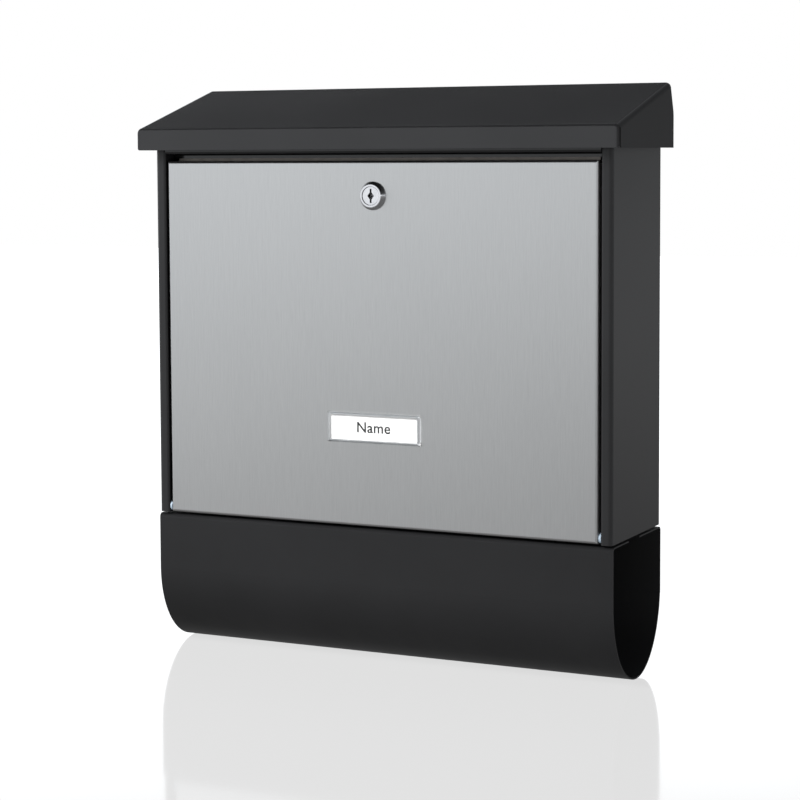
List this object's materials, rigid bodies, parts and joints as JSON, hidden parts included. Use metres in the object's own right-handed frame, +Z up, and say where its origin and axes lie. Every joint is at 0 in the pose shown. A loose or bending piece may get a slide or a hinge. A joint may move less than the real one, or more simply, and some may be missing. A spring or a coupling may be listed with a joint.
{
  "type": "wall mounted mailbox",
  "caption": "Wall mounted letter box: sloped lifting lid, lockable front door hinged at the bottom, name plate, and an open-ended paper roll below.",
  "frame": {"origin": "centre of the four wall holes, on the back panel's rear face", "axes": "+X to the right seen from the front, +Y into the wall, +Z up; the door faces -Y"},
  "size_m": [0.38, 0.1117, 0.42],
  "materials": {
    "black_paint": "satin black powder coat with a fine texture",
    "stainless": "vertical brushed grain",
    "lock_chrome": "polished nickel-chrome plate",
    "zinc_steel": "bright zinc plate",
    "pale_nylon": "smooth nylon",
    "black_rubber": "matte",
    "clear_plastic": "clear polished plastic",
    "grey_plastic": "satin",
    "paper": "plain white card"
  },
  "bodies": {
    "body": {"body_shell": "black_paint", "body_base": "black_paint", "top_rail": "black_paint", "lid_buffers": "black_rubber", "door_hinge_pins": "zinc_steel", "door_hinge_washers": "pale_nylon", "newspaper_roll": "black_paint", "roll_spacers": "black_rubber", "roll_screws": "zinc_steel", "roll_nuts": "zinc_steel"},
    "lid": {"lid": "black_paint", "lid_pivot_pins": "zinc_steel", "lid_pin_clips": "zinc_steel"},
    "door": {"door_panel": "stainless", "lock_housing": "lock_chrome", "lock_nut": "zinc_steel", "name_plate_base": "grey_plastic", "name_card": "paper", "name_plate_cover": "clear_plastic", "name_plate_clips": "zinc_steel"},
    "lock_cylinder": {"lock_plug": "lock_chrome", "lock_cam": "zinc_steel", "cam_washer": "zinc_steel", "cam_screw": "zinc_steel"}
  },
  "joints": [
    {"name": "lid_hinge", "type": "hinge", "parent": "body", "child": "lid", "pos_m": [0, -0.0092, 0.1673], "axis": [-1, 0, 0], "range_deg": [0, 65]},
    {"name": "door_hinge", "type": "hinge", "parent": "body", "child": "door", "pos_m": [0, -0.0954, -0.139], "axis": [1, 0, 0], "range_deg": [0, 110]},
    {"name": "lock_turn", "type": "hinge", "parent": "door", "child": "lock_cylinder", "pos_m": [0, -0.1, 0.0949], "axis": [0, 1, 0], "range_deg": [0, 90]}
  ]
}
